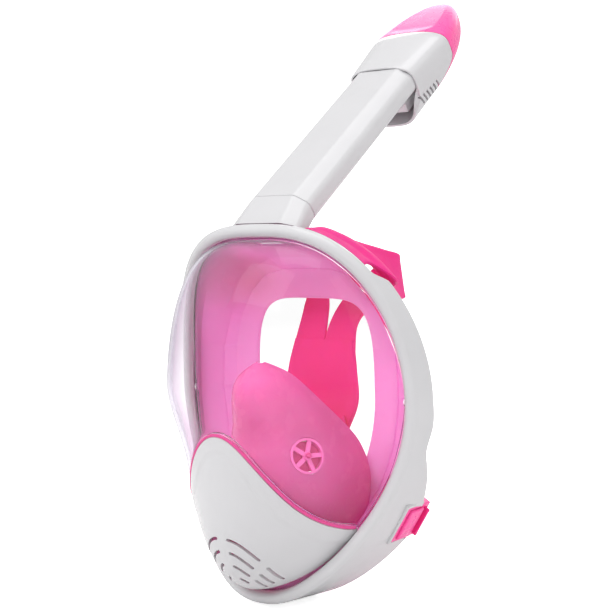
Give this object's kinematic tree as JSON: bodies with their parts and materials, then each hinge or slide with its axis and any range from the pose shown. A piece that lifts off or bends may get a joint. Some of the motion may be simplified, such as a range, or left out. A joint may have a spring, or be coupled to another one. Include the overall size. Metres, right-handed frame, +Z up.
{
  "type": "full face snorkel mask",
  "caption": "Full face snorkel mask: domed clear window in a frame with a silicone skirt, nose pocket, slotted chin cover, head straps and a plug-in dry-top tube.",
  "frame": {"origin": "middle of the face seal, at the height of the eyes' lower edge", "axes": "+X the wearer's left, +Y back towards the head, +Z up; the face looks along -Y"},
  "size_m": [0.208, 0.2883, 0.4203],
  "materials": {
    "white_shell": "glossy moulded ABS",
    "clear_window": "clear polycarbonate",
    "inner_white": "satin moulded",
    "skirt_silicone": "translucent silicone",
    "valve_plastic": "satin moulded",
    "seal_silicone": "soft silicone",
    "accent_plastic": "glossy moulded",
    "strap_silicone": "soft silicone"
  },
  "bodies": {
    "mask": {"mask_frame": "white_shell", "visor_lens": "clear_window", "clamp_ring": "inner_white", "face_skirt": "skirt_silicone", "nose_pocket": "skirt_silicone", "valve_seat_left": "valve_plastic", "valve_seat_right": "valve_plastic", "chin_cover": "white_shell", "chin_gasket": "seal_silicone", "drain_seat": "inner_white", "snorkel_socket": "white_shell", "socket_gasket": "seal_silicone", "head_strap": "strap_silicone", "lower_strap_left": "strap_silicone", "lower_strap_right": "strap_silicone"},
    "snorkel": {"snorkel_tube": "white_shell", "dry_top_housing": "white_shell", "dry_top_cap": "accent_plastic", "top_seat": "inner_white"},
    "float": {"float_block": "inner_white", "float_seal": "seal_silicone"},
    "inhale_flap_left": {"inhale_flap_left": "seal_silicone"},
    "inhale_flap_right": {"inhale_flap_right": "seal_silicone"},
    "drain_flap": {"drain_flap": "seal_silicone"},
    "clip_left": {"clip_body_left": "accent_plastic"},
    "clip_right": {"clip_body_right": "accent_plastic"},
    "clip_button_left": {"clip_button_left": "accent_plastic"},
    "clip_button_right": {"clip_button_right": "accent_plastic"}
  },
  "joints": [
    {"name": "snorkel_plug", "type": "slide", "parent": "mask", "child": "snorkel", "axis": [0, 0.8121, 0.5835], "range_m": [0, 0.03]},
    {"name": "float_travel", "type": "slide", "parent": "snorkel", "child": "float", "axis": [0, 0.8121, 0.5835], "range_m": [0, 0.0105]},
    {"name": "inhale_flap_left_lift", "type": "slide", "parent": "mask", "child": "inhale_flap_left", "axis": [-0.8438, 0.4467, -0.2974], "range_m": [0, 0.0015], "stiffness_N_per_m": 20},
    {"name": "inhale_flap_right_lift", "type": "slide", "parent": "mask", "child": "inhale_flap_right", "axis": [0.8438, 0.4467, -0.2974], "range_m": [0, 0.0015], "stiffness_N_per_m": 20},
    {"name": "drain_flap_lift", "type": "slide", "parent": "mask", "child": "drain_flap", "axis": [0, -0.9218, -0.3877], "range_m": [0, 0.0015], "stiffness_N_per_m": 20},
    {"name": "clip_left_release", "type": "slide", "parent": "mask", "child": "clip_left", "axis": [0, 1, 0], "range_m": [0, 0.02], "deforming": ["lower_strap_left"]},
    {"name": "clip_right_release", "type": "slide", "parent": "mask", "child": "clip_right", "axis": [0, 1, 0], "range_m": [0, 0.02], "deforming": ["lower_strap_right"]},
    {"name": "clip_button_left_press", "type": "slide", "parent": "clip_left", "child": "clip_button_left", "axis": [-0.8488, 0, 0.5288], "range_m": [0, 0.0015], "stiffness_N_per_m": 400},
    {"name": "clip_button_right_press", "type": "slide", "parent": "clip_right", "child": "clip_button_right", "axis": [0.8488, 0, 0.5288], "range_m": [0, 0.0015], "stiffness_N_per_m": 400}
  ]
}
